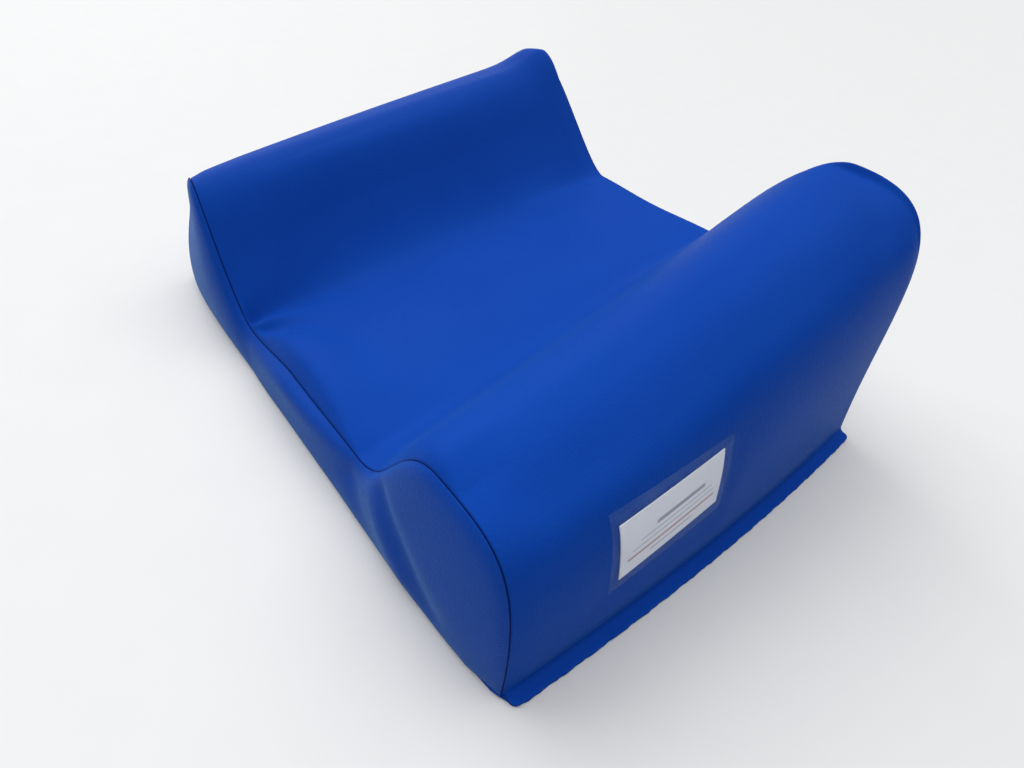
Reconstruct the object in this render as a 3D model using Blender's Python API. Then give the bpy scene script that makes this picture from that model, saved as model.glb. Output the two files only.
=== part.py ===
"""Stretcher head pillow: a wedge of foam in an artificial leather cover.

Two bolsters run from the low front end to the high rear end, with a cradle for the head between
them. Metres, +Z up, +X towards the wall with the label, -Y towards the low front end. The origin
is on the resting surface, under the middle of the pillow.
"""

import math
from collections import namedtuple

import bmesh
import bpy
import numpy as np

# Overall sizes
SEAM_LENGTH = 0.259  # between the two end seams
HALF_WIDTH = 0.175  # from the middle to the foot of a long wall
WALL_BOW = 0.0045  # how far the foot of a wall swells at mid length
PANEL_THICK = 0.002
BASE_THICK = 0.0025
FLANGE_WIDTH = 0.0063
FLANGE_CORNER = 0.005
FLANGE_SHORT = 0.002  # how far a flange stops short of the end seams
GAP = 0.0003

# Half sections at the two end seams, from the wall's foot over the bolster to the cradle's middle.
# The reaches are lengths of curve handles: how far each rounding runs on.
Half = namedtuple(
    "Half",
    "lean_x lean_z crest_x crest_z outer_reach inner_reach valley_reach valley_x valley_z middle_z",
)
FRONT_LEFT = Half(-0.010, 0.080, 0.129, 0.085, 0.006, 0.0215, 0.0245, 0.059, 0.024, 0.0327)
FRONT_RIGHT = Half(0.001, 0.079, 0.129, 0.0825, 0.035, 0.026, 0.026, 0.067, 0.0345, 0.0327)
REAR_LEFT = Half(-0.0125, 0.096, 0.125, 0.134, 0.0555, 0.018, 0.016, 0.048, 0.075, 0.0735)
REAR_RIGHT = Half(-0.014, 0.0925, 0.115, 0.1415, 0.064, 0.0300, 0.0080, 0.049, 0.075, 0.0735)
FLOOR_HANDLE = 0.33  # share of the cradle's half width

# Between its end seams, which draw it in, the cover stands out this much further
SWELL = 0.0015
SWELL_LENGTH = 0.012

# The front seam is pulled back at the left bolster's outer shoulder, by depth at (x, z)
Pull = namedtuple("Pull", "x z radius length depth")
SHOULDER_PULL = Pull(-0.160, 0.066, 0.034, 0.035, 0.007)

# Crown of the end panels
CROWN = 0.004
CROWN_AT_FOOT = 0.0035
CROWN_FULLNESS = 0.9
CROWN_SKEW = 0.65  # under 1 puts the fullest part low
CROWN_CORNER = 8  # how sharply the crown at the foot ends at the corners

# Steps of the meshes
WALL_STEPS = 10
INNER_STEPS = 9
FLOOR_STEPS = 5
END_RINGS = (0.0, 0.0025, 0.006, 0.011, 0.020, 0.035)  # distances from an end seam
MIDDLE_RINGS = 8
END_ROWS = 6
CORNER_STEPS = 4
FLANGE_STEPS = 13
BASE_SKIP = 2  # the base panel has every second point of an end panel's foot
SHARP_DEGREES = 40.0

# Folds and swellings, as soft troughs along a line from (a, b) to (c, d). A swelling has a depth
# under zero. On top of the cover the places are x and y, on the front end panel x and z.
Fold = namedtuple("Fold", "name a b c d width depth")
TOP_FOLDS = (
    Fold("pucker at the front left cradle corner", -0.058, -0.118, -0.050, -0.112, 0.010, 0.002),
    Fold("tension trough from the pucker", -0.050, -0.112, 0.010, -0.085, 0.010, 0.0018),
    Fold("ridge in front of the trough", -0.045, -0.122, 0.030, -0.106, 0.010, -0.0015),
    Fold("dent beside the right bolster", 0.052, -0.112, 0.066, -0.085, 0.009, 0.0025),
    Fold("ear at the rear of the left bolster", -0.134, 0.118, -0.116, 0.126, 0.014, -0.007),
    Fold("flat at the rear of the right bolster", 0.152, 0.108, 0.158, 0.128, 0.014, 0.003),
)
END_FOLDS = (
    Fold("fold below the right cradle corner", 0.070, 0.026, 0.103, 0.006, 0.006, 0.0012),
    Fold("ridge beside the fold", 0.060, 0.022, 0.088, 0.005, 0.006, -0.001),
)

# Label pocket and card on the right wall. across runs along the wall and up runs up it, about a
# middle at (y, z); tilt is in degrees, the rear end higher.
Patch = namedtuple("Patch", "y z across up tilt")
POCKET = Patch(-0.054, 0.0575, 0.066, 0.042, 5.0)
CARD = Patch(-0.055, 0.0585, 0.0565, 0.030, 7.0)
POCKET_RIM = 0.003
WELD_SHARE = 0.6  # of the rim, from its edge to where the film rises
LABEL_GAP = 0.0005  # the wall's facets stand this far off its true curve at most
CARD_THICK = 0.001
FILM_THICK = 0.001
LABEL_COLUMNS = 14
LABEL_ROWS = 8
WALL_PROBE = 0.002  # height over which the wall's lean is measured

Finish = namedtuple("Finish", "name colour roughness alpha")
BLUE_COVER = Finish("blue_cover", (0.012, 0.075, 0.45), 0.45, 1.0)
CLEAR_FILM = Finish("clear_film", (0.75, 0.80, 0.90), 0.15, 0.35)
WHITE_CARD = Finish("white_card", (0.80, 0.80, 0.80), 0.60, 1.0)

BODY_FOOT = BASE_THICK + GAP


def clear_scene():
    for found in list(bpy.data.objects):
        bpy.data.objects.remove(found, do_unlink=True)


def bezier(start, start_handle, end_handle, end, steps):
    t = np.linspace(0.0, 1.0, steps + 1)[:, None]
    s = 1.0 - t
    return s**3 * start + 3 * s * s * t * start_handle + 3 * s * t * t * end_handle + t**3 * end


def half_section(half):
    """Points (x, z) of a half section, x growing outward."""
    foot = np.array([HALF_WIDTH, BODY_FOOT])
    crest = np.array([half.crest_x, half.crest_z])
    valley = np.array([half.valley_x, half.valley_z])
    middle = np.array([0.0, half.middle_z])
    lean = np.array([half.lean_x, half.lean_z])
    outer = np.array([half.outer_reach, 0.0])
    inner = np.array([half.inner_reach, 0.0])
    dip = np.array([half.valley_reach, 0.0])
    flat = np.array([half.valley_x * FLOOR_HANDLE, 0.0])
    wall = bezier(foot, foot + lean, crest + outer, crest, WALL_STEPS)
    slope = bezier(crest, crest - inner, valley + dip, valley, INNER_STEPS)
    floor = bezier(valley, valley - flat, middle + flat, middle, FLOOR_STEPS)
    return np.vstack([wall, slope[1:], floor[1:]])


def whole_section(left, right):
    """Points (x, z) from the left wall's foot to the right wall's foot."""
    mirrored = half_section(left) * (-1.0, 1.0)
    return np.vstack([mirrored, half_section(right)[-2::-1]])


FRONT_SECTION = whole_section(FRONT_LEFT, FRONT_RIGHT)
REAR_SECTION = whole_section(REAR_LEFT, REAR_RIGHT)


def outward(section):
    """Unit normals (x, z) of a section, facing out of the pillow."""
    along = np.gradient(section, axis=0)
    normal = np.stack([-along[:, 1], along[:, 0]], axis=1)
    return normal / np.linalg.norm(normal, axis=1)[:, None]


def relief(folds, across, along):
    """How far the folds press the cover in at a place."""
    depth = 0.0
    for fold in folds:
        run_a = fold.c - fold.a
        run_b = fold.d - fold.b
        share = ((across - fold.a) * run_a + (along - fold.b) * run_b) / (run_a**2 + run_b**2)
        share = np.clip(share, 0.0, 1.0)
        off = np.hypot(across - fold.a - share * run_a, along - fold.b - share * run_b)
        depth = depth + fold.depth * np.exp(-((off / fold.width) ** 2))
    return depth


def bow_at(y):
    """How far the foot of a long wall stands out at a station, as a parabola."""
    return WALL_BOW * (1.0 - (2.0 * y / SEAM_LENGTH) ** 2)


def pull_at(x, y, z):
    """How far a place on the cover is pulled back from the front seam."""
    pull = SHOULDER_PULL
    off = np.hypot(x - pull.x, z - pull.z) / pull.radius
    from_seam = SEAM_LENGTH / 2 + y
    return pull.depth * np.exp(-(off**2)) * max(0.0, 1.0 - from_seam / pull.length)


def section_at(y):
    """The cover's section at a station along the pillow, from foot to foot."""
    share = y / SEAM_LENGTH + 0.5
    section = FRONT_SECTION * (1.0 - share) + REAR_SECTION * share
    section[:, 0] *= 1.0 + bow_at(y) / HALF_WIDTH
    from_seam = SEAM_LENGTH / 2 - abs(y)
    swell = SWELL * (1.0 - max(0.0, 1.0 - from_seam / SWELL_LENGTH) ** 2)
    normal = outward(section)
    top = np.clip(normal[:, 1], 0.0, 1.0)
    above_foot = np.clip((section[:, 1] - BODY_FOOT) / SWELL_LENGTH, 0.0, 1.0)
    section = section + normal * (swell * above_foot)[:, None]
    section[:, 1] -= top * above_foot * relief(TOP_FOLDS, section[:, 0], y)
    return section


def foot_line(section):
    """Points (x, z) across the underside, one below each point of the section."""
    x = np.linspace(section[0, 0], section[-1, 0], len(section))
    return np.stack([x, np.full(len(section), BODY_FOOT)], axis=1)


def end_grid(side, lift):
    """Rows of points (x, y, z) over an end, from the foot line up to the seam.

    side is -1 at the front and 1 at the rear. lift stands the grid off the filling.
    """
    section = section_at(side * SEAM_LENGTH / 2)
    foot = foot_line(section)
    fullness = (section - foot)[:, 1] / (section - foot)[:, 1].max()
    taper = 1.0 - np.abs(np.linspace(-1.0, 1.0, len(section))) ** CROWN_CORNER
    rows = []
    for height in np.linspace(0.0, 1.0, END_ROWS + 1):
        flat = foot * (1.0 - height) + section * height
        swell = CROWN * math.sin(math.pi * height**CROWN_SKEW) ** CROWN_FULLNESS
        out = fullness * swell + taper * CROWN_AT_FOOT * (1.0 - height)
        if side < 0:
            out = out - taper * (1.0 - height**4) * relief(END_FOLDS, flat[:, 0], flat[:, 1])
        y = side * (SEAM_LENGTH / 2 + out + lift)
        y = y + pull_at(flat[:, 0], side * SEAM_LENGTH / 2, flat[:, 1])
        rows.append(np.stack([flat[:, 0], y, flat[:, 1]], axis=1))
    return rows


def in_space(section, y):
    """A section's points (x, y, z) at a station, pulled back where the front seam is."""
    x, z = section.T
    return np.stack([x, y + pull_at(x, y, z), z], axis=1)


class Surface:
    """Collects faces between rows of points; points at one place become one vertex."""

    def __init__(self):
        self.mesh = bmesh.new()
        self.known = {}

    def vertex(self, point):
        key = tuple(round(float(value), 7) for value in point)
        if key not in self.known:
            self.known[key] = self.mesh.verts.new(key)
        return self.known[key]

    def face(self, points):
        corners = []
        for point in points:
            corner = self.vertex(point)
            if corner not in corners:
                corners.append(corner)
        if len(corners) > 2:
            self.mesh.faces.new(corners)

    def strip(self, first, second):
        """Faces between two rows of as many points."""
        for a, b, c, d in zip(first[:-1], first[1:], second[1:], second[:-1]):
            self.face((a, b, c, d))

    def grid(self, rows):
        for first, second in zip(rows[:-1], rows[1:]):
            self.strip(first, second)


def make_object(name, mesh, finish, collection):
    """The closed mesh as an object, its faces turned out."""
    bmesh.ops.triangulate(mesh, faces=mesh.faces[:])
    bmesh.ops.recalc_face_normals(mesh, faces=mesh.faces[:])
    data = bpy.data.meshes.new(name)
    mesh.to_mesh(data)
    mesh.free()
    data.shade_smooth()
    data.set_sharp_from_angle(angle=math.radians(SHARP_DEGREES))
    data.materials.append(material_for(finish))
    collection.objects.link(bpy.data.objects.new(name, data))


def material_for(finish):
    made = bpy.data.materials.get(finish.name)
    if made:
        return made
    made = bpy.data.materials.new(finish.name)
    made.use_nodes = True
    shader = made.node_tree.nodes["Principled BSDF"]
    shader.inputs["Base Color"].default_value = (*finish.colour, 1.0)
    shader.inputs["Roughness"].default_value = finish.roughness
    shader.inputs["Metallic"].default_value = 0.0
    shader.inputs["Alpha"].default_value = finish.alpha
    return made


def stations():
    """Places along the pillow for the body's rings, close together at the seams."""
    half = SEAM_LENGTH / 2
    front = [-half + step for step in END_RINGS]
    inner = front[-1]
    middle = np.linspace(inner, -inner, MIDDLE_RINGS + 1)[1:-1]
    return front + list(middle) + [-place for place in reversed(front)]


def build_body(collection):
    """The wrap panel with its filling."""
    surface = Surface()
    tops = []
    soles = []
    for y in stations():
        section = section_at(y)
        tops.append(in_space(section, y))
        soles.append(in_space(foot_line(section), y))
    surface.grid(tops)
    surface.grid(soles)
    front = end_grid(-1, 0.0)
    rear = end_grid(1, 0.0)
    surface.grid([soles[0]] + front)
    surface.grid([soles[-1]] + rear)
    make_object("pillow_body", surface.mesh, BLUE_COVER, collection)


def build_end_panel(name, side, collection):
    """A sewn end panel, crowned over the filling."""
    inner = end_grid(side, GAP)
    outer = end_grid(side, GAP + PANEL_THICK)
    surface = Surface()
    surface.grid(inner)
    surface.grid(outer)
    surface.strip(inner[0], outer[0])
    surface.strip(inner[-1], outer[-1])
    make_object(name, surface.mesh, BLUE_COVER, collection)


def base_outline():
    """Plan outline (x, y) of the underside panel, once round."""
    half = SEAM_LENGTH / 2
    centre_x = HALF_WIDTH + FLANGE_WIDTH - FLANGE_CORNER
    centre_y = half - FLANGE_SHORT - FLANGE_CORNER
    quarter = FLANGE_CORNER * np.array(
        [(math.cos(turn), math.sin(turn)) for turn in np.linspace(0.0, math.pi / 2, CORNER_STEPS + 1)]
    )
    side = [(centre_x + x, -centre_y - y) for x, y in quarter[::-1]]
    for y in np.linspace(-centre_y, centre_y, FLANGE_STEPS + 1)[1:-1]:
        side.append((HALF_WIDTH + FLANGE_WIDTH + bow_at(y), y))
    side += [(centre_x + x, centre_y + y) for x, y in quarter]
    rear = [(HALF_WIDTH, half - FLANGE_SHORT)]
    for point in end_grid(1, GAP + PANEL_THICK)[0][::-BASE_SKIP][1:-1]:
        rear.append((point[0], point[1]))
    front = [(-HALF_WIDTH, FLANGE_SHORT - half)]
    for point in end_grid(-1, GAP + PANEL_THICK)[0][::BASE_SKIP][1:-1]:
        front.append((point[0], point[1]))
    return side + rear + [(-x, -y) for x, y in side] + front


def build_base(collection):
    """The underside panel with its flanges, flat on the resting surface."""
    mesh = bmesh.new()
    corners = [mesh.verts.new((x, y, 0.0)) for x, y in base_outline()]
    mesh.faces.new(corners)
    raised = bmesh.ops.extrude_face_region(mesh, geom=mesh.faces[:])
    moved = [item for item in raised["geom"] if isinstance(item, bmesh.types.BMVert)]
    bmesh.ops.translate(mesh, verts=moved, vec=(0.0, 0.0, BASE_THICK))
    make_object("base_panel", mesh, BLUE_COVER, collection)


def wall_point(y, z, lift):
    """A point that stands off the right wall by lift, at a place along and up it."""
    section = section_at(y)[-WALL_STEPS - 1 :][::-1]
    x = np.interp(z, section[:, 1], section[:, 0])
    slope = np.interp(z + WALL_PROBE, section[:, 1], section[:, 0]) - x
    tilt = math.atan2(slope, WALL_PROBE)
    return (x + lift * math.cos(tilt), y, z - lift * math.sin(tilt))


def wall_patch(name, finish, patch, inner_lift, outer_lift, collection):
    """A sheet that follows the right wall. Each lift is worked out from the distance to its rim."""
    turn = math.radians(patch.tilt)
    surface = Surface()
    sheets = []
    for lift in (inner_lift, outer_lift):
        rows = []
        for up in patch_places(patch.up / 2, LABEL_ROWS):
            row = []
            for across in patch_places(patch.across / 2, LABEL_COLUMNS):
                edge = min(patch.across / 2 - abs(across), patch.up / 2 - abs(up))
                y = patch.y + across * math.cos(turn) - up * math.sin(turn)
                z = patch.z + across * math.sin(turn) + up * math.cos(turn)
                row.append(wall_point(y, z, lift(edge)))
            rows.append(row)
        sheets.append(rows)
        surface.grid(rows)
    inner, outer = sheets
    surface.strip(inner[0], outer[0])
    surface.strip(inner[-1], outer[-1])
    surface.strip([row[0] for row in inner], [row[0] for row in outer])
    surface.strip([row[-1] for row in inner], [row[-1] for row in outer])
    make_object(name, surface.mesh, finish, collection)


def patch_places(half, steps):
    """Places across a patch, with a close pair at each rim for the pocket's step."""
    rim = (-half, POCKET_RIM * WELD_SHARE - half, POCKET_RIM - half)
    middle = np.linspace(rim[-1], -rim[-1], steps - 3)[1:-1]
    return list(rim) + list(middle) + [-place for place in reversed(rim)]


def build_label(collection):
    """The clear pocket, and the card that lies in it against the wall."""
    raised = LABEL_GAP + CARD_THICK + LABEL_GAP

    def under_film(edge):
        share = (edge / POCKET_RIM - WELD_SHARE) / (1.0 - WELD_SHARE)
        return LABEL_GAP + (raised - LABEL_GAP) * np.clip(share, 0.0, 1.0)

    def over_film(edge):
        return under_film(edge) + FILM_THICK

    def under_card(edge):
        return LABEL_GAP

    def over_card(edge):
        return LABEL_GAP + CARD_THICK

    wall_patch("label_pocket", CLEAR_FILM, POCKET, under_film, over_film, collection)
    wall_patch("label_card", WHITE_CARD, CARD, under_card, over_card, collection)


def main():
    clear_scene()
    pillow = bpy.data.collections.new("stretcher_head_pillow")
    bpy.context.scene.collection.children.link(pillow)
    build_body(pillow)
    build_end_panel("front_end_panel", -1, pillow)
    build_end_panel("rear_end_panel", 1, pillow)
    build_base(pillow)
    build_label(pillow)


main()
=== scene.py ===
"""Looks of the stretcher head pillow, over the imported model's frame.

Metres, +Z up, +X towards the wall with the label, -Y towards the low front end.
"""

import math
from collections import namedtuple

import bmesh
import bpy
import numpy as np
from mathutils import Matrix, Vector


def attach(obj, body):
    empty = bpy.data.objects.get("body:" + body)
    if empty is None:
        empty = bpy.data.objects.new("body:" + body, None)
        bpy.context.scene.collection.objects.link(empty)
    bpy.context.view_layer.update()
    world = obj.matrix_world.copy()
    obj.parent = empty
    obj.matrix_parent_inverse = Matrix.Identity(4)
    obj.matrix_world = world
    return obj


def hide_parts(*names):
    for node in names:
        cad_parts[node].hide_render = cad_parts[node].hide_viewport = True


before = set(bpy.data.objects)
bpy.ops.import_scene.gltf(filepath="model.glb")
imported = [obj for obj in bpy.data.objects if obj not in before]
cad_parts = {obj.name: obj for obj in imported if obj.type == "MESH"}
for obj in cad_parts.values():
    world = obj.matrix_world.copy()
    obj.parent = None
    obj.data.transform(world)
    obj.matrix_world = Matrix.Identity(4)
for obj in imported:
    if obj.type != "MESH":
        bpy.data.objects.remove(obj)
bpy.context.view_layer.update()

# Camera at the photograph's viewing angle
CAMERA_PLACE = (0.23569, -0.20347, 0.23454)
CAMERA_AZIMUTH = 46.44
CAMERA_ELEVATION = 40.243
CAMERA_ROLL = 7.645
CAMERA_LENS_MM = 20.949
SENSOR_MM = 36.0

# Overall sizes, the same as the solids have
SEAM_LENGTH = 0.259
HALF_WIDTH = 0.175
WALL_BOW = 0.0045
PANEL_THICK = 0.002
BASE_THICK = 0.0025
FLANGE_WIDTH = 0.0063
FLANGE_CORNER = 0.0035
FLANGE_SHORT = 0.001
GAP = 0.0003
BODY_FOOT = BASE_THICK + GAP

# The flange is two layers of fabric: the base panel's, and the wrap's turned out over it
SOLE_THICK = 0.0013
LIP_LOW = 0.0014
LIP_TOP = 0.0024
LIP_FILLET = 0.0030
LIP_END = 0.0004
LIP_BACK = 0.0004

# Half sections at the two end seams, from the wall's foot over the bolster to the cradle's middle
Half = namedtuple(
    "Half",
    "lean_x lean_z crest_x crest_z outer_reach inner_reach valley_reach valley_x valley_z middle_z",
)
FRONT_LEFT = Half(-0.010, 0.080, 0.129, 0.085, 0.006, 0.0215, 0.0245, 0.059, 0.024, 0.0327)
FRONT_RIGHT = Half(0.001, 0.079, 0.129, 0.0825, 0.035, 0.026, 0.026, 0.067, 0.0345, 0.0327)
REAR_LEFT = Half(-0.0125, 0.096, 0.125, 0.134, 0.0555, 0.018, 0.016, 0.048, 0.075, 0.0735)
REAR_RIGHT = Half(-0.014, 0.0925, 0.115, 0.1415, 0.064, 0.0300, 0.0080, 0.049, 0.075, 0.0735)
FLOOR_HANDLE = 0.33

SWELL = 0.0015
SWELL_LENGTH = 0.012

# Stretches of the front seam where the cover rolls over in a rounder edge, from x to x. The roll
# is longest and highest half way along.
Ridge = namedtuple("Ridge", "start end height length run_out")
SEAM_RIDGES = (
    Ridge(-0.066, 0.066, 0.0066, 0.0075, 0.022),
    Ridge(0.088, 0.140, 0.0034, 0.0060, 0.016),
)
RIDGE_END = 0.0015
RIDGE_EASE = 2.8

# The front panel puffs out below the cradle's seam, between the same two places
PUFF = Ridge(-0.066, 0.066, 0.0034, 0.0060, 0.0)

# The cover bridges the hollow at a bolster's foot, more the further it is from the seams
BRIDGE_LEFT = 0.013
BRIDGE_RIGHT = 0.006
BRIDGE_RUN = 0.040
BRIDGE_STEP = 0.001

Pull = namedtuple("Pull", "x z radius length depth")
SHOULDER_PULL = Pull(-0.160, 0.066, 0.034, 0.035, 0.007)

CROWN = 0.004
CROWN_AT_FOOT = 0.0035
CROWN_FULLNESS = 0.75
CROWN_SKEW = 0.65
CROWN_CORNER = 6

# Folds and swellings along a line from (a, b) to (c, d), with the width and depth at its start and
# at its end. On top of the cover the places are x and y, on the front end panel x and z. A
# swelling has a depth under zero.
Fold = namedtuple("Fold", "name a b c d width end_width depth end_depth")
FOLD_START = 0.002  # folds fade out this close to a seam
TOP_FOLDS = (
    Fold("hollow at the cradle's front left corner", -0.068, -0.128, -0.068, -0.082, 0.005, 0.016, 0.0060, 0.0028),
    Fold("band beside the hollow", -0.058, -0.128, -0.044, -0.088, 0.004, 0.010, -0.0030, -0.0014),
    Fold("wedge below the band", -0.054, -0.127, -0.010, -0.090, 0.004, 0.014, 0.0034, 0.0018),
    Fold("dent beside the right bolster", 0.052, -0.112, 0.066, -0.085, 0.012, 0.012, 0.0008, 0.0006),
    Fold("fullness of the left bolster", -0.108, -0.108, -0.104, 0.108, 0.017, 0.018, -0.0050, -0.0040),
    Fold("rounder shoulder of the right bolster", 0.157, -0.106, 0.157, 0.100, 0.015, 0.016, 0.0048, 0.0034),
    Fold("flat of the rear right corner", 0.116, 0.126, 0.132, 0.118, 0.014, 0.014, 0.0040, 0.0040),
    Fold("ear at the rear of the left bolster", -0.134, 0.118, -0.116, 0.126, 0.014, 0.014, -0.007, -0.007),
    Fold("flat at the rear of the right bolster", 0.152, 0.108, 0.158, 0.128, 0.014, 0.014, 0.003, 0.003),
)
END_FOLDS = (
    Fold("fold below the right cradle corner", 0.099, 0.046, 0.134, 0.012, 0.006, 0.010, 0.0018, 0.0030),
    Fold("ridge beside the fold", 0.090, 0.036, 0.114, 0.010, 0.006, 0.009, -0.0006, -0.0018),
    Fold("hollow below the cradle's low corner", 0.070, 0.024, 0.088, 0.006, 0.010, 0.010, 0.0016, 0.0010),
)

# Steps of the meshes
WALL_STEPS = 54
INNER_STEPS = 56
FLOOR_STEPS = 34
ROLL_STEPS = 6
SEAM_STEPS = 22
MIDDLE_STEPS = 96
END_ROWS = 54
ROW_CROWDING = 1.4  # the rows lie closer towards the seam
CORNER_STEPS = 8
FLANGE_STEPS = 150

# The rolled edges at an end seam, with a dark tube of painted shade down between them that stands for the seam's shadow
# line
WRAP_ROLL = 0.0006
RIM_DROP = 0.0004
RIM_THICK = 0.0006
RIM_RUN = 0.0025
SEAM_DEPTH = 0.0026
SEAM_REACH = 0.020
SEAM_SHADOW_RADIUS = 0.00042
SEAM_SHADOW_DEPTH = 0.0006
SEAM_SHADOW_SIDES = 6

# The cradle's middle line, where the two half sections meet, is smoothed this often and this wide.
MIDDLE_PASSES = 24
MIDDLE_REACH = 0.022

# Cloth simulation of the wrap. Every third point of its grid is simulated, held at the seams, at
# the feet and under the label. What it adds is kept within the cap.
SIM_STEP = 3
SIM_FRAMES = 20
SIM_PRESSURE = 4.0
SIM_SLACK = 0.0
SIM_CAP = 0.0012
SIM_BLUR = 2
SIM_SEAM_FADE = 0.004
SIM_FOOT_FADE = 0.008
SIM_LABEL_FADE = 0.008
POCKET_SIDE = 0.140

# Edge of the flange
EDGE_ROUND = 0.0006
EDGE_RAGGED = 0.00030

# Label pocket and card on the right wall
Patch = namedtuple("Patch", "y z across up tilt")
POCKET = Patch(-0.054, 0.0575, 0.066, 0.042, 5.0)
CARD = Patch(-0.055, 0.0585, 0.0565, 0.030, 7.0)
POCKET_RIM = 0.003
LABEL_GAP = 0.0003
CARD_THICK = 0.0004
FILM_THICK = 0.0004
FILM_COLUMNS = 88
FILM_ROWS = 56
CARD_COLUMNS = 56
CARD_ROWS = 30
WALL_PROBE = 0.002


def bezier(start, start_handle, end_handle, end, steps):
    t = np.linspace(0.0, 1.0, steps + 1)[:, None]
    s = 1.0 - t
    return s**3 * start + 3 * s * s * t * start_handle + 3 * s * t * t * end_handle + t**3 * end


def half_section(half):
    """Points (x, z) of a half section, x growing outward."""
    foot = np.array([HALF_WIDTH, BODY_FOOT])
    crest = np.array([half.crest_x, half.crest_z])
    valley = np.array([half.valley_x, half.valley_z])
    middle = np.array([0.0, half.middle_z])
    lean = np.array([half.lean_x, half.lean_z])
    outer = np.array([half.outer_reach, 0.0])
    inner = np.array([half.inner_reach, 0.0])
    dip = np.array([half.valley_reach, 0.0])
    flat = np.array([half.valley_x * FLOOR_HANDLE, 0.0])
    wall = bezier(foot, foot + lean, crest + outer, crest, WALL_STEPS)
    slope = bezier(crest, crest - inner, valley + dip, valley, INNER_STEPS)
    floor = bezier(valley, valley - flat, middle + flat, middle, FLOOR_STEPS)
    return np.vstack([wall, slope[1:], floor[1:]])


def whole_section(left, right):
    mirrored = half_section(left) * (-1.0, 1.0)
    return np.vstack([mirrored, half_section(right)[-2::-1]])


FRONT_SECTION = whole_section(FRONT_LEFT, FRONT_RIGHT)
REAR_SECTION = whole_section(REAR_LEFT, REAR_RIGHT)


def outward(section):
    along = np.gradient(section, axis=0)
    normal = np.stack([-along[:, 1], along[:, 0]], axis=1)
    return normal / np.linalg.norm(normal, axis=1)[:, None]


def relief(folds, across, along):
    """How far the folds press the cover in at a place."""
    depth = 0.0
    for fold in folds:
        run_a = fold.c - fold.a
        run_b = fold.d - fold.b
        share = ((across - fold.a) * run_a + (along - fold.b) * run_b) / (run_a**2 + run_b**2)
        share = np.clip(share, 0.0, 1.0)
        off = np.hypot(across - fold.a - share * run_a, along - fold.b - share * run_b)
        width = fold.width + (fold.end_width - fold.width) * share
        deep = fold.depth + (fold.end_depth - fold.depth) * share
        depth = depth + deep * np.exp(-((off / width) ** 2))
    return depth


def bow_at(y):
    return WALL_BOW * (1.0 - (2.0 * y / SEAM_LENGTH) ** 2)


def pull_at(x, y, z):
    pull = SHOULDER_PULL
    off = np.hypot(x - pull.x, z - pull.z) / pull.radius
    from_seam = SEAM_LENGTH / 2 + y
    return pull.depth * np.exp(-(off**2)) * max(0.0, 1.0 - from_seam / pull.length)


def ridge_at(x, y):
    """How far the rounder stretches of the front seam's edge stand up."""
    height = 0.0
    from_seam = SEAM_LENGTH / 2 + y
    for ridge in SEAM_RIDGES:
        share = np.clip((x - ridge.start) / (ridge.end - ridge.start), 0.0, 1.0)
        fullness = np.sin(math.pi * share) ** 0.8
        length = RIDGE_END + ridge.length * fullness
        rise = 1.0 - np.maximum(0.0, 1.0 - from_seam / length) ** RIDGE_EASE
        fall = np.exp(-((np.maximum(0.0, from_seam - length) / ridge.run_out) ** 2))
        height = height + ridge.height * fullness * rise * fall
    return height


def puff_at(x, below):
    """How far the front panel puffs out at a distance below the seam."""
    share = np.clip((x - PUFF.start) / (PUFF.end - PUFF.start), 0.0, 1.0)
    return PUFF.height * np.sin(math.pi * share) * below / PUFF.length * np.exp(1.0 - below / PUFF.length)


def bridge_over(section, from_seam):
    """How far the cover stands up over the hollows at the bolsters' feet."""
    left = section[: len(section) // 2, 1].argmax()
    right = len(section) // 2 + section[len(section) // 2 :, 1].argmax()
    inner = section[left : right + 1]
    x = np.arange(inner[0, 0], inner[-1, 0], BRIDGE_STEP)
    z = np.interp(x, inner[:, 0], inner[:, 1])
    run = 1.0 - math.exp(-((from_seam / BRIDGE_RUN) ** 2))
    raised = np.zeros(len(section))
    for reach, side in ((BRIDGE_LEFT, -1), (BRIDGE_RIGHT, 1)):
        width = max(reach * run, BRIDGE_STEP)
        offsets = np.arange(-3 * width, 3 * width + BRIDGE_STEP, BRIDGE_STEP)
        weights = np.exp(-0.5 * (offsets / width) ** 2)
        weights = weights / weights.sum()
        smooth = sum(weight * np.interp(x + offset, x, z) for weight, offset in zip(weights, offsets))
        here = np.interp(section[:, 0], x, np.maximum(smooth - z, 0.0) * run, left=0.0, right=0.0)
        raised = raised + here * np.clip(0.5 + side * section[:, 0] / 0.02, 0.0, 1.0)
    raised[:left] = 0.0
    raised[right + 1 :] = 0.0
    return raised


def section_at(y, inset=0.0):
    """The cover's section at a station, from foot to foot, drawn in by inset."""
    share = y / SEAM_LENGTH + 0.5
    section = FRONT_SECTION * (1.0 - share) + REAR_SECTION * share
    section[:, 0] *= 1.0 + bow_at(y) / HALF_WIDTH
    from_seam = SEAM_LENGTH / 2 - abs(y)
    swell = SWELL * (1.0 - max(0.0, 1.0 - from_seam / SWELL_LENGTH) ** 2)
    normal = outward(section)
    top = np.clip(normal[:, 1], 0.0, 1.0)
    above_foot = np.clip((section[:, 1] - BODY_FOOT) / SWELL_LENGTH, 0.0, 1.0)
    section = section + normal * (swell * above_foot - inset)[:, None]
    clear = 1.0 - math.exp(-((from_seam / FOLD_START) ** 2))
    section[:, 1] -= clear * top * above_foot * relief(TOP_FOLDS, section[:, 0], y)
    section[:, 1] += top * ridge_at(section[:, 0], y)
    section[:, 1] += bridge_over(section, from_seam)
    section[0, 1] = BODY_FOOT
    section[-1, 1] = BODY_FOOT
    return section


def ragged(place):
    """Unevenness of the flange's cut edge at a place along it."""
    waves = math.sin(place * 410.0) + 0.7 * math.sin(place * 977.0 + 1.3)
    return EDGE_RAGGED * (waves + 0.6 * math.sin(place * 2311.0 + 0.4)) / 2.3


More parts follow.
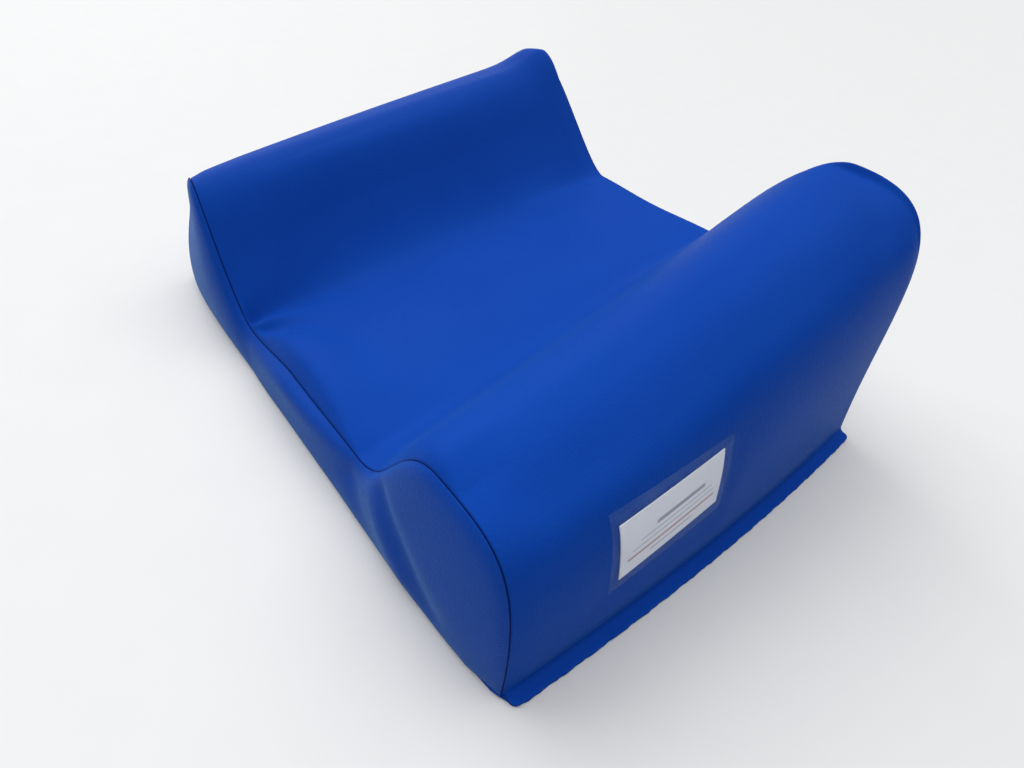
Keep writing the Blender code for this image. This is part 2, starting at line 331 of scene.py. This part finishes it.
def flange_reach(y):
    """How far the flange stands out of the wall's foot at a station."""
    corner = SEAM_LENGTH / 2 - FLANGE_SHORT - FLANGE_CORNER
    past = abs(y) - corner
    if past <= 0.0:
        return FLANGE_WIDTH + ragged(y)
    if past >= FLANGE_CORNER:
        return LIP_END
    return FLANGE_WIDTH - FLANGE_CORNER + math.sqrt(FLANGE_CORNER**2 - past**2)


def lip_points(foot, above, reach):
    """Points (x, z) of the turned out lip and its fillet, for a wall whose foot is at x > 0."""
    fillet = min(LIP_FILLET, 0.9 * reach)
    edge = foot[0] + reach
    middle = (LIP_LOW + LIP_TOP) / 2
    points = [(edge - LIP_BACK, LIP_LOW), (edge, middle), (edge - LIP_BACK * 0.7, LIP_TOP)]
    start = foot[0] + fillet
    points += [(edge * (1 - share) + start * share - LIP_BACK * (1 - share), LIP_TOP) for share in (0.3, 0.65)]
    for turn in np.linspace(0.0, math.pi / 2, 8):
        z = LIP_TOP + fillet * (1.0 - math.cos(turn))
        wall = np.interp(z, (foot[1], above[1]), (foot[0], above[0]))
        points.append((wall + fillet * (1.0 - math.sin(turn)), z))
    return np.array(points)


def full_section(y, inset=0.0):
    """The cover's section with the flange lips at both feet."""
    section = section_at(y, inset)
    reach = flange_reach(y)
    mirrored = section * (-1.0, 1.0)
    left = lip_points(mirrored[0], mirrored[1], reach) * (-1.0, 1.0)
    right = lip_points(section[-1], section[-2], reach)[::-1]
    return np.vstack([left, section[1:-1], right])


def foot_line(section):
    x = np.linspace(section[0, 0], section[-1, 0], len(section))
    return np.stack([x, np.full(len(section), LIP_LOW)], axis=1)


def end_grid(side, lift, inset, heights, fuller=0.0):
    """Rows of points (x, y, z) over an end, from the foot line up to the seam.

    They stand out by fuller more away from the seam.
    """
    section = full_section(side * SEAM_LENGTH / 2, inset)
    foot = foot_line(section)
    fullness = (section - foot)[:, 1] / (section - foot)[:, 1].max()
    taper = 1.0 - np.abs(np.linspace(-1.0, 1.0, len(section))) ** CROWN_CORNER
    rows = []
    for height in heights:
        flat = foot * (1.0 - height) + section * height
        swell = CROWN * math.sin(math.pi * height**CROWN_SKEW) ** CROWN_FULLNESS
        below = (section - flat)[:, 1]
        out = fullness * swell + taper * CROWN_AT_FOOT * (1.0 - height)
        out = out + fuller * (1.0 - np.exp(-below / RIM_RUN))
        if side < 0:
            fade = taper * (1.0 - height**4) * (1.0 - (1.0 - height) ** 6)
            out = out - fade * relief(END_FOLDS, flat[:, 0], flat[:, 1])
            out = out + puff_at(flat[:, 0], below)
        y = side * (SEAM_LENGTH / 2 + out + lift)
        y = y + pull_at(flat[:, 0], side * SEAM_LENGTH / 2, flat[:, 1])
        rows.append(np.stack([flat[:, 0], y, flat[:, 1]], axis=1))
    return rows


def in_space(section, y):
    x, z = section.T
    return np.stack([x, y + pull_at(x, y, z), z], axis=1)


class Surface:
    """Collects faces between rows of points; points at one place become one vertex."""

    def __init__(self):
        self.mesh = bmesh.new()
        self.known = {}

    def vertex(self, point):
        key = tuple(round(float(value), 7) for value in point)
        if key not in self.known:
            self.known[key] = self.mesh.verts.new(key)
        return self.known[key]

    def face(self, points):
        corners = []
        for point in points:
            corner = self.vertex(point)
            if corner not in corners:
                corners.append(corner)
        if len(corners) > 2:
            self.mesh.faces.new(corners)

    def strip(self, first, second):
        for a, b, c, d in zip(first[:-1], first[1:], second[1:], second[:-1]):
            self.face((a, b, c, d))

    def grid(self, rows):
        for first, second in zip(rows[:-1], rows[1:]):
            self.strip(first, second)

    def loops(self, rings):
        """Faces between closed rings of as many points."""
        for first, second in zip(rings[:-1], rings[1:]):
            self.strip(list(first) + [first[0]], list(second) + [second[0]])


def make_object(name, mesh, material, node):
    """The closed mesh as a piece that stands for a CAD node."""
    bmesh.ops.recalc_face_normals(mesh, faces=mesh.faces[:])
    data = bpy.data.meshes.new(name)
    mesh.to_mesh(data)
    mesh.free()
    data.shade_smooth()
    data.materials.append(material)
    made = bpy.data.objects.new(name, data)
    bpy.context.scene.collection.objects.link(made)
    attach(made, "root")
    if node:
        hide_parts(node)
    return made


# Materials

class Nodes:
    """A material's node tree, built call by call."""

    def __init__(self, name):
        self.material = bpy.data.materials.new(name)
        self.material.use_nodes = True
        self.tree = self.material.node_tree
        self.shader = self.tree.nodes["Principled BSDF"]

    def add(self, kind, **settings):
        node = self.tree.nodes.new(kind)
        for key, value in settings.items():
            setattr(node, key, value)
        return node

    def link(self, source, target):
        self.tree.links.new(source, target)

    def place(self):
        """The surface's own place in metres."""
        return self.add("ShaderNodeTexCoord").outputs["Object"]

    def noise(self, place, scale, detail=2.0, roughness=0.5):
        node = self.add("ShaderNodeTexNoise")
        node.inputs["Scale"].default_value = scale
        node.inputs["Detail"].default_value = detail
        node.inputs["Roughness"].default_value = roughness
        self.link(place, node.inputs["Vector"])
        return node.outputs["Fac"]

    def cells(self, place, scale):
        node = self.add("ShaderNodeTexVoronoi", feature="SMOOTH_F1")
        node.inputs["Scale"].default_value = scale
        node.inputs["Smoothness"].default_value = 0.6
        self.link(place, node.inputs["Vector"])
        return node.outputs["Distance"]

    def spread(self, value, low, high, start=0.3, end=0.7):
        """A value from start to end, spread from low to high."""
        node = self.add("ShaderNodeMapRange")
        for key, number in (("From Min", start), ("From Max", end), ("To Min", low), ("To Max", high)):
            node.inputs[key].default_value = number
        self.link(value, node.inputs["Value"])
        return node.outputs["Result"]

    def maths(self, operation, first, second):
        node = self.add("ShaderNodeMath", operation=operation)
        for place, value in enumerate((first, second)):
            if isinstance(value, (int, float)):
                node.inputs[place].default_value = value
            else:
                self.link(value, node.inputs[place])
        return node.outputs["Value"]

    def mix(self, share, first, second):
        """A colour between two, each a colour or another node's output."""
        node = self.add("ShaderNodeMix", data_type="RGBA")
        if isinstance(share, (int, float)):
            node.inputs["Factor"].default_value = share
        else:
            self.link(share, node.inputs["Factor"])
        for socket, value in ((node.inputs[6], first), (node.inputs[7], second)):
            if isinstance(value, tuple):
                socket.default_value = (*value, 1.0)
            else:
                self.link(value, socket)
        return node.outputs[2]

    def bump(self, height, distance, strength, under=None):
        node = self.add("ShaderNodeBump")
        node.inputs["Distance"].default_value = distance
        node.inputs["Strength"].default_value = strength
        self.link(height, node.inputs["Height"])
        if under is not None:
            self.link(under, node.inputs["Normal"])
        return node.outputs["Normal"]

    def set(self, **values):
        for key, value in values.items():
            socket = self.shader.inputs[key.replace("_", " ")]
            if hasattr(value, "is_output"):
                self.link(value, socket)
            elif isinstance(value, tuple):
                socket.default_value = (*value, 1.0)
            else:
                socket.default_value = value


SATIN_LEVEL = 0.022
END_LEVEL = 0.05
SATIN_TINT = (0.45, 0.92, 1.0)
SHEEN_TINT = (0.25, 0.80, 1.0)


def vinyl(name, colour, shade, rough_low, rough_high, level, sheen):
    """Coated fabric with a fine pebble grain, its colour a little uneven."""
    made = Nodes(name)
    place = made.place()
    broad = made.noise(place, 14.0, 3.0)
    fine = made.noise(place, 620.0, 3.0)
    base = made.mix(made.spread(broad, 0.0, 1.0), shade, colour)
    pebbles = made.cells(place, 1050.0)
    low = made.spread(pebbles, 0.0, 0.22, 0.15, 0.75)
    base = made.mix(low, base, shade)
    rough = made.spread(fine, rough_low, rough_high)
    pores = made.bump(pebbles, 0.0002, 0.5)
    normal = made.bump(fine, 0.0005, 0.12, pores)
    made.set(Base_Color=base, Roughness=rough, Normal=normal)
    made.set(Specular_IOR_Level=level, Specular_Tint=SATIN_TINT)
    made.set(Sheen_Weight=sheen, Sheen_Roughness=0.35, Sheen_Tint=SHEEN_TINT)
    return made.material


def film():
    """Clear pocket film, welded at its rim."""
    made = Nodes("clear_pocket_film")
    place = made.place()
    haze = made.noise(place, 90.0, 3.0)
    ripple = made.noise(place, 60.0, 2.0)
    made.set(
        Base_Color=made.mix(made.spread(haze, 0.0, 1.0), (0.14, 0.24, 0.46), (0.20, 0.30, 0.52)),
        Roughness=made.spread(haze, 0.16, 0.30),
        Normal=made.bump(ripple, 0.0015, 0.10),
        Alpha=made.spread(haze, 0.06, 0.09),
        Specular_IOR_Level=0.25,
        Specular_Tint=SATIN_TINT,
    )
    return made.material


# Printed rules of the blank form on the card: middle and half length across the card, place up
# from its middle, half thickness, and which ink
Rule = namedtuple("Rule", "middle half up thick ink")
GREY_INK = (0.16, 0.19, 0.27)
RED_INK = (0.42, 0.13, 0.11)
RULES = (
    Rule(0.004, 0.0135, 0.0040, 0.0011, GREY_INK),
    Rule(0.002, 0.0200, 0.0004, 0.00025, GREY_INK),
    Rule(0.001, 0.0230, -0.0028, 0.00025, GREY_INK),
    Rule(0.000, 0.0245, -0.0064, 0.0007, RED_INK),
    Rule(0.000, 0.0120, -0.0100, 0.00035, GREY_INK),
)


def paper():
    """White card printed with a few ruled lines."""
    made = Nodes("white_card_paper")
    place = made.place()
    turned = made.add("ShaderNodeMapping", vector_type="TEXTURE")
    turned.inputs["Location"].default_value = (0.0, CARD.y, CARD.z)
    turned.inputs["Rotation"].default_value = (math.radians(CARD.tilt), 0.0, 0.0)
    made.link(place, turned.inputs["Vector"])
    parts = made.add("ShaderNodeSeparateXYZ")
    made.link(turned.outputs["Vector"], parts.inputs["Vector"])
    across = parts.outputs["Y"]
    up = parts.outputs["Z"]
    fibre = made.noise(place, 800.0, 4.0)
    cloud = made.noise(place, 45.0, 2.0)
    base = made.mix(made.spread(cloud, 0.0, 1.0), (0.80, 0.81, 0.87), (0.86, 0.87, 0.92))
    for rule in RULES:
        off_across = made.maths("ABSOLUTE", made.maths("SUBTRACT", across, rule.middle), 0.0)
        off_up = made.maths("ABSOLUTE", made.maths("SUBTRACT", up, rule.up), 0.0)
        inside = made.maths("LESS_THAN", off_across, rule.half)
        on = made.maths("MULTIPLY", inside, made.maths("LESS_THAN", off_up, rule.thick))
        faded = made.maths("MULTIPLY", on, 0.75)
        base = made.mix(faded, base, rule.ink)
    made.set(
        Base_Color=base,
        Roughness=made.spread(fibre, 0.5, 0.65),
        Normal=made.bump(fibre, 0.0002, 0.1),
    )
    return made.material


def plain(name, colour, low, high):
    made = Nodes(name)
    place = made.place()
    grain = made.noise(place, 30.0, 3.0)
    made.set(Base_Color=made.mix(made.spread(grain, 0.0, 1.0), low, colour), Roughness=high)
    return made.material


COVER_BLUE = (0.0045, 0.0490, 0.330)
COVER_SHADE = (0.0035, 0.0435, 0.304)
# Dark navy of the tube laid in the end seams: painted shade for the thin shadow line in the seam's groove
SEAM_SHADOW_BLUE = (0.002, 0.011, 0.080)
wrap_vinyl = vinyl("blue_vinyl_wrap", COVER_BLUE, COVER_SHADE, 0.46, 0.56, SATIN_LEVEL, 0.06)
end_vinyl = vinyl("blue_vinyl_ends", COVER_BLUE, COVER_SHADE, 0.48, 0.58, END_LEVEL, 0.12)
base_vinyl = vinyl("blue_vinyl_base", COVER_BLUE, COVER_SHADE, 0.52, 0.62, SATIN_LEVEL, 0.06)
seam_shadow_dark = vinyl("navy_painted_seam_shadow", SEAM_SHADOW_BLUE, SEAM_SHADOW_BLUE, 0.6, 0.7, SATIN_LEVEL, 0.0)
pocket_film = film()
card_paper = paper()


# The pieces

def seam_distances():
    """Distances from an end seam of the wrap's rings, with how far each is rolled in."""
    rings = []
    for turn in np.linspace(0.0, math.pi / 2, ROLL_STEPS + 1):
        away = WRAP_ROLL * (1.0 - math.cos(turn))
        rings.append((away, WRAP_ROLL * (1.0 - math.sin(turn))))
    for away in np.geomspace(WRAP_ROLL, SEAM_REACH, SEAM_STEPS)[1:]:
        rings.append((away, 0.0))
    return rings


def kept_places(count):
    return np.unique(np.append(np.arange(0, count, SIM_STEP), count - 1))


def blurred(values):
    """A grid of values smoothed along both of its directions."""
    weights = np.ones(2 * SIM_BLUR + 1) / (2 * SIM_BLUR + 1)
    for axis in (0, 1):
        pads = [(SIM_BLUR, SIM_BLUR) if here == axis else (0, 0) for here in (0, 1)]
        padded = np.pad(values, pads, mode="edge")
        values = np.apply_along_axis(lambda line: np.convolve(line, weights, mode="valid"), axis, padded)
    return values


def grid_normals(grid):
    across = np.gradient(grid, axis=1)
    along = np.gradient(grid, axis=0)
    normal = np.cross(across, along)
    return normal / np.maximum(np.linalg.norm(normal, axis=2), 1e-12)[:, :, None]


def simulated(points, held):
    """Where a grid of points ends up as pressed cloth, held at some of its points."""
    rows, columns = held.shape
    faces = [
        (row * columns + place, row * columns + place + 1, (row + 1) * columns + place + 1, (row + 1) * columns + place)
        for row in range(rows - 1)
        for place in range(columns - 1)
    ]
    data = bpy.data.meshes.new("wrap_cloth")
    data.from_pydata(points.reshape(-1, 3).tolist(), [], faces)
    cloth_object = bpy.data.objects.new("wrap_cloth", data)
    scene = bpy.context.scene
    scene.collection.objects.link(cloth_object)
    group = cloth_object.vertex_groups.new(name="held")
    group.add(np.flatnonzero(held.ravel()).tolist(), 1.0, "REPLACE")
    cloth = cloth_object.modifiers.new("cloth", "CLOTH")
    settings = cloth.settings
    settings.quality = 5
    settings.mass = 0.3
    settings.bending_stiffness = 1.5
    settings.vertex_group_mass = "held"
    settings.shrink_min = SIM_SLACK
    settings.use_pressure = True
    settings.uniform_pressure_force = SIM_PRESSURE
    settings.effector_weights.gravity = 0.0
    cloth.collision_settings.use_collision = False
    cloth.point_cache.frame_start = 1
    cloth.point_cache.frame_end = SIM_FRAMES
    for number in range(1, SIM_FRAMES + 1):
        scene.frame_set(number)
    pressed = cloth_object.evaluated_get(bpy.context.evaluated_depsgraph_get()).to_mesh()
    moved = np.array([vertex.co[:] for vertex in pressed.vertices]).reshape(points.shape)
    bpy.data.objects.remove(cloth_object)
    bpy.data.meshes.remove(data)
    scene.frame_set(1)
    return moved


def cloth_relief(grid):
    """How far the simulated cloth stands out of the wrap's grid, along its normal."""
    rows = kept_places(grid.shape[0])
    columns = kept_places(grid.shape[1])
    coarse = grid[np.ix_(rows, columns)]
    from_seam = SEAM_LENGTH / 2 - np.abs(coarse[:, :, 1])
    held = (from_seam < WRAP_ROLL) | (coarse[:, :, 2] < BODY_FOOT + LIP_FILLET)
    out = ((simulated(coarse, held) - coarse) * grid_normals(coarse)).sum(axis=2)
    kept = SIM_CAP * np.tanh(blurred(blurred(out)) / SIM_CAP)
    half_fine = np.array([np.interp(np.arange(grid.shape[1]), columns, line) for line in kept])
    fine = np.array([np.interp(np.arange(grid.shape[0]), rows, line) for line in half_fine.T]).T
    return fine * free_to_move(grid)


def free_to_move(grid):
    """Share of the simulated shape that is kept: none at the seams, the feet and the label."""
    x, y, z = np.moveaxis(grid, 2, 0)
    seam = 1.0 - np.exp(-(((SEAM_LENGTH / 2 - np.abs(y)) / SIM_SEAM_FADE) ** 2))
    foot = 1.0 - np.exp(-((np.maximum(z - BODY_FOOT - LIP_FILLET, 0.0) / SIM_FOOT_FADE) ** 2))
    beside = np.maximum(np.abs(y - POCKET.y) - POCKET.across / 2, 0.0)
    above = np.maximum(np.abs(z - POCKET.z) - POCKET.up / 2 - 0.003, 0.0)
    off = np.where(x > POCKET_SIDE, np.hypot(beside, above), SEAM_LENGTH)
    return seam * foot * (1.0 - np.exp(-((off / SIM_LABEL_FADE) ** 2)))


def eased_middle(grid):
    """The grid with its middle, where the two half sections meet, smoothed into one curve."""
    smooth = grid[:, :, 2]
    for _ in range(MIDDLE_PASSES):
        smooth = (np.roll(smooth, 1, axis=1) + smooth + np.roll(smooth, -1, axis=1)) / 3
    share = np.exp(-((grid[:, :, 0] / MIDDLE_REACH) ** 4)) * (grid[:, :, 2] > BODY_FOOT)
    eased = grid.copy()
    eased[:, :, 2] += share * (smooth - grid[:, :, 2])
    return eased


def build_wrap():
    """The wrap panel over its filling, its edges rolled in at the end seams."""
    surface = Surface()
    half = SEAM_LENGTH / 2
    rings = seam_distances()
    places = [(away - half, inset) for away, inset in rings]
    middle = np.linspace(SEAM_REACH - half, half - SEAM_REACH, MIDDLE_STEPS + 1)[1:-1]
    places += [(y, 0.0) for y in middle]
    places += [(half - away, inset) for away, inset in reversed(rings)]
    tops = []
    soles = []
    for y, inset in places:
        section = full_section(y, inset)
        tops.append(in_space(section, y))
        soles.append(in_space(foot_line(section), y))
    grid = eased_middle(np.array(tops))
    grid = grid + grid_normals(grid) * cloth_relief(grid)[:, :, None]
    tops = list(grid)
    surface.grid(tops)
    surface.grid(soles)
    heights = np.linspace(0.0, 1.0, 9)
    for side, sole, top in ((-1, soles[0], tops[0]), (1, soles[-1], tops[-1])):
        rows = end_grid(side, 0.0, WRAP_ROLL, heights)
        surface.grid([sole] + rows[:-1] + [top])
    made = make_object("cover_wrap", surface.mesh, wrap_vinyl, "pillow_body")
    return made


def build_end(name, node, side):
    """An end panel with its rolled rim, crowned over the filling."""
    surface = Surface()
    radius = RIM_THICK / 2
    heights = 1.0 - (1.0 - np.linspace(0.0, 1.0, END_ROWS + 1)) ** ROW_CROWDING
    outer = end_grid(side, GAP + RIM_THICK, RIM_DROP + radius, heights, PANEL_THICK - RIM_THICK)
    rim = []
    for turn in np.linspace(0.0, math.pi, 9)[1:]:
        lift = GAP + radius + radius * math.cos(turn)
        inset = RIM_DROP + radius - radius * math.sin(turn)
        rim.append(end_grid(side, lift, inset, (1.0,))[0])
    inner = end_grid(side, GAP, SEAM_DEPTH, np.linspace(1.0, 0.0, 9))
    surface.grid(outer + rim + inner + [outer[0]])
    made = make_object(name, surface.mesh, end_vinyl, node)
    section = section_at(side * SEAM_LENGTH / 2)
    return made


def build_seam_shadow(name, side):
    """A dark tube down in an end seam, painted shade standing for the shadow line in its groove."""
    section = full_section(side * SEAM_LENGTH / 2, SEAM_SHADOW_DEPTH)
    normal = outward(section)
    rings = []
    for turn in np.linspace(0.0, 2 * math.pi, SEAM_SHADOW_SIDES, endpoint=False):
        shifted = section + normal * SEAM_SHADOW_RADIUS * math.sin(turn)
        y = side * (SEAM_LENGTH / 2 + GAP / 2 + SEAM_SHADOW_RADIUS * math.cos(turn))
        y = y + pull_at(shifted[:, 0], side * SEAM_LENGTH / 2, shifted[:, 1])
        rings.append(np.stack([shifted[:, 0], y, np.maximum(shifted[:, 1], LIP_LOW)], axis=1))
    surface = Surface()
    surface.grid(rings + [rings[0]])
    surface.face([ring[0] for ring in rings])
    surface.face([ring[-1] for ring in rings])
    return make_object(name, surface.mesh, seam_shadow_dark, None)


def base_outline():
    """Plan outline (x, y) of the underside panel, once round."""
    half = SEAM_LENGTH / 2
    centre_x = HALF_WIDTH + FLANGE_WIDTH - FLANGE_CORNER
    centre_y = half - FLANGE_SHORT - FLANGE_CORNER
    turns = np.linspace(0.0, math.pi / 2, CORNER_STEPS + 1)
    quarter = FLANGE_CORNER * np.array([(math.cos(turn), math.sin(turn)) for turn in turns])
    side = [(centre_x + x, -centre_y - y) for x, y in quarter[::-1]]
    for y in np.linspace(-centre_y, centre_y, FLANGE_STEPS + 1)[1:-1]:
        side.append((HALF_WIDTH + FLANGE_WIDTH + bow_at(y) + ragged(y), y))
    side += [(centre_x + x, centre_y + y) for x, y in quarter]
    ends = []
    for direction in (1, -1):
        row = end_grid(direction, GAP + RIM_THICK, 0.0, (0.0,), PANEL_THICK - RIM_THICK)[0][::-4 * direction][1:-1]
        corner = direction * HALF_WIDTH
        ends.append([(corner, direction * (half - FLANGE_SHORT))] + [(x, y) for x, y, z in row])
    return np.array(side + ends[0] + [(-x, -y) for x, y in side] + ends[1])


def build_base():
    """The underside panel with its flanges, their edges a little rounded."""
    outline = base_outline()
    along = np.roll(outline, -1, axis=0) - np.roll(outline, 1, axis=0)
    inward = np.stack([-along[:, 1], along[:, 0]], axis=1)
    inward = inward / np.linalg.norm(inward, axis=1)[:, None]
    rings = []
    for turn in np.linspace(-math.pi / 2, math.pi / 2, 9):
        inset = EDGE_ROUND * (1.0 - math.cos(turn))
        z = (SOLE_THICK / 2) * (1.0 + math.sin(turn))
        ring = outline + inward * inset
        rings.append(np.column_stack([ring, np.full(len(ring), z)]))
    surface = Surface()
    surface.loops(rings)
    for ring in (rings[0], rings[-1]):
        for shrink in (0.9, 0.5):
            inner = ring * (shrink, shrink, 1.0)
            surface.loops([ring, inner])
            ring = inner
        surface.loops([ring, np.tile(ring.mean(axis=0), (len(ring), 1))])
    made = make_object("base_cover", surface.mesh, base_vinyl, "base_panel")
    return made


def wall_points(patch, columns, rows, lift):
    """Rows of points over a patch of the right wall, each lifted off it."""
    turn = math.radians(patch.tilt)
    grid = []
    for up in patch_places(patch.up / 2, rows):
        row = []
        for across in patch_places(patch.across / 2, columns):
            edge = min(patch.across / 2 - abs(across), patch.up / 2 - abs(up))
            y = patch.y + across * math.cos(turn) - up * math.sin(turn)
            z = patch.z + across * math.sin(turn) + up * math.cos(turn)
            row.append(wall_point(y, z, lift(edge, across, up)))
        grid.append(row)
    return grid


KNOWN_WALLS = {}


def wall_point(y, z, lift):
    key = round(y, 5)
    if key not in KNOWN_WALLS:
        KNOWN_WALLS[key] = section_at(y)[-WALL_STEPS - 1 :][::-1]
    section = KNOWN_WALLS[key]
    x = np.interp(z, section[:, 1], section[:, 0])
    slope = np.interp(z + WALL_PROBE, section[:, 1], section[:, 0]) - x
    tilt = math.atan2(slope, WALL_PROBE)
    return (x + lift * math.cos(tilt), y, z - lift * math.sin(tilt))


def patch_places(half, steps):
    rim = np.linspace(-half, POCKET_RIM - half, 9)
    middle = np.linspace(rim[-1], -rim[-1], steps - 15)[1:-1]
    return list(rim) + list(middle) + [-place for place in reversed(rim)]


def build_patch(name, node, material, patch, columns, rows, under, over):
    surface = Surface()
    inner = wall_points(patch, columns, rows, under)
    outer = wall_points(patch, columns, rows, over)
    surface.grid(inner)
    surface.grid(outer)
    surface.strip(inner[0], outer[0])
    surface.strip(inner[-1], outer[-1])
    surface.strip([row[0] for row in inner], [row[0] for row in outer])
    surface.strip([row[-1] for row in inner], [row[-1] for row in outer])
    return make_object(name, surface.mesh, material, node)


def build_label():
    """The clear pocket with its welded rim, and the card that lies in it."""
    raised = LABEL_GAP + CARD_THICK + 0.0002

    def under_film(edge, across, up):
        share = np.clip((edge / POCKET_RIM - 0.45) / 0.55, 0.0, 1.0)
        return 0.0001 + (raised - 0.0001) * share * share * (3.0 - 2.0 * share)

    def over_film(edge, across, up):
        return under_film(edge, across, up) + FILM_THICK * min(1.0, 0.35 + edge / 0.0008)

    def under_card(edge, across, up):
        return LABEL_GAP

    def over_card(edge, across, up):
        return LABEL_GAP + CARD_THICK

    build_patch(
        "label_film", "label_pocket", pocket_film,
        POCKET, FILM_COLUMNS, FILM_ROWS, under_film, over_film,
    )
    build_patch(
        "label_paper", "label_card", card_paper,
        CARD, CARD_COLUMNS, CARD_ROWS, under_card, over_card,
    )


build_wrap()
build_end("front_end_cover", "front_end_panel", -1)
build_end("rear_end_cover", "rear_end_panel", 1)
# Dark tubes in the two end seams: painted shade for the seams' shadow lines
build_seam_shadow("front_seam_shadow", -1)
build_seam_shadow("rear_seam_shadow", 1)
build_base()
build_label()


# Stage, light and camera

# The room is brightest towards one direction. Its light runs from the first place to the second,
# as the cosine of the angle from that direction, and then come the strengths at each.
ROOM_POLE = (0.02, 0.10, 0.99)
ROOM_LIGHT = (0.40, 1.00, 0.06, 2.04)
BACKDROP = 0.85
Lamp = namedtuple("Lamp", "name comes_from strength spread")
LAMPS = (
    Lamp("soft_key", (-0.73, -0.16, 0.66), 1.74, 55.0),
    Lamp("back_left", (-0.87, 0.38, 0.24), 0.40, 40.0),
)


def build_floor():
    data = bpy.data.meshes.new("studio_floor")
    reach = 6.0
    data.from_pydata(
        [(-reach, -reach, -0.0002), (reach, -reach, -0.0002), (reach, reach, -0.0002), (-reach, reach, -0.0002)],
        [], [(0, 1, 2, 3)],
    )
    data.materials.append(plain("pale_floor", (0.63, 0.63, 0.63), (0.62, 0.62, 0.62), 0.7))
    made = bpy.data.objects.new("studio_floor", data)
    bpy.context.scene.collection.objects.link(made)


def light_the_room():
    world = bpy.data.worlds.new("soft_room")
    world.use_nodes = True
    back = world.node_tree.nodes["Background"]
    back.inputs["Color"].default_value = (0.98, 0.99, 1.0, 1.0)
    tree = world.node_tree
    towards = tree.nodes.new("ShaderNodeVectorMath")
    towards.operation = "DOT_PRODUCT"
    towards.inputs[1].default_value = ROOM_POLE
    spread = tree.nodes.new("ShaderNodeMapRange")
    spread.interpolation_type = "SMOOTHSTEP"
    tree.links.new(tree.nodes.new("ShaderNodeTexCoord").outputs["Generated"], towards.inputs[0])
    tree.links.new(towards.outputs["Value"], spread.inputs["Value"])
    for key, number in zip(("From Min", "From Max", "To Min", "To Max"), ROOM_LIGHT):
        spread.inputs[key].default_value = number
    seen = tree.nodes.new("ShaderNodeMix")
    tree.links.new(tree.nodes.new("ShaderNodeLightPath").outputs["Is Camera Ray"], seen.inputs["Factor"])
    tree.links.new(spread.outputs["Result"], seen.inputs["A"])
    seen.inputs["B"].default_value = BACKDROP
    tree.links.new(seen.outputs["Result"], back.inputs["Strength"])
    bpy.context.scene.world = world
    for lamp in LAMPS:
        data = bpy.data.lights.new(lamp.name, "SUN")
        data.energy = lamp.strength
        data.angle = math.radians(lamp.spread)
        made = bpy.data.objects.new(lamp.name, data)
        made.rotation_euler = Vector(lamp.comes_from).to_track_quat("Z", "Y").to_euler()
        bpy.context.scene.collection.objects.link(made)


def place_camera():
    azimuth = math.radians(CAMERA_AZIMUTH)
    elevation = math.radians(CAMERA_ELEVATION)
    roll = math.radians(CAMERA_ROLL)
    back = Vector(
        (
            math.sin(azimuth) * math.cos(elevation),
            -math.cos(azimuth) * math.cos(elevation),
            math.sin(elevation),
        )
    )
    right = (-back).cross(Vector((0.0, 0.0, 1.0))).normalized()
    up = right.cross(-back)
    turned_right = right * math.cos(roll) + up * math.sin(roll)
    turned_up = up * math.cos(roll) - right * math.sin(roll)
    data = bpy.data.cameras.new("photo_camera")
    data.sensor_fit = "HORIZONTAL"
    data.sensor_width = SENSOR_MM
    data.lens = CAMERA_LENS_MM
    data.clip_start = 0.01
    camera = bpy.data.objects.new("photo_camera", data)
    axes = Matrix((turned_right, turned_up, back)).transposed().to_4x4()
    camera.matrix_world = Matrix.Translation(CAMERA_PLACE) @ axes
    bpy.context.scene.collection.objects.link(camera)
    bpy.context.scene.camera = camera


build_floor()
light_the_room()
place_camera()
bpy.context.scene.view_settings.view_transform = "Standard"
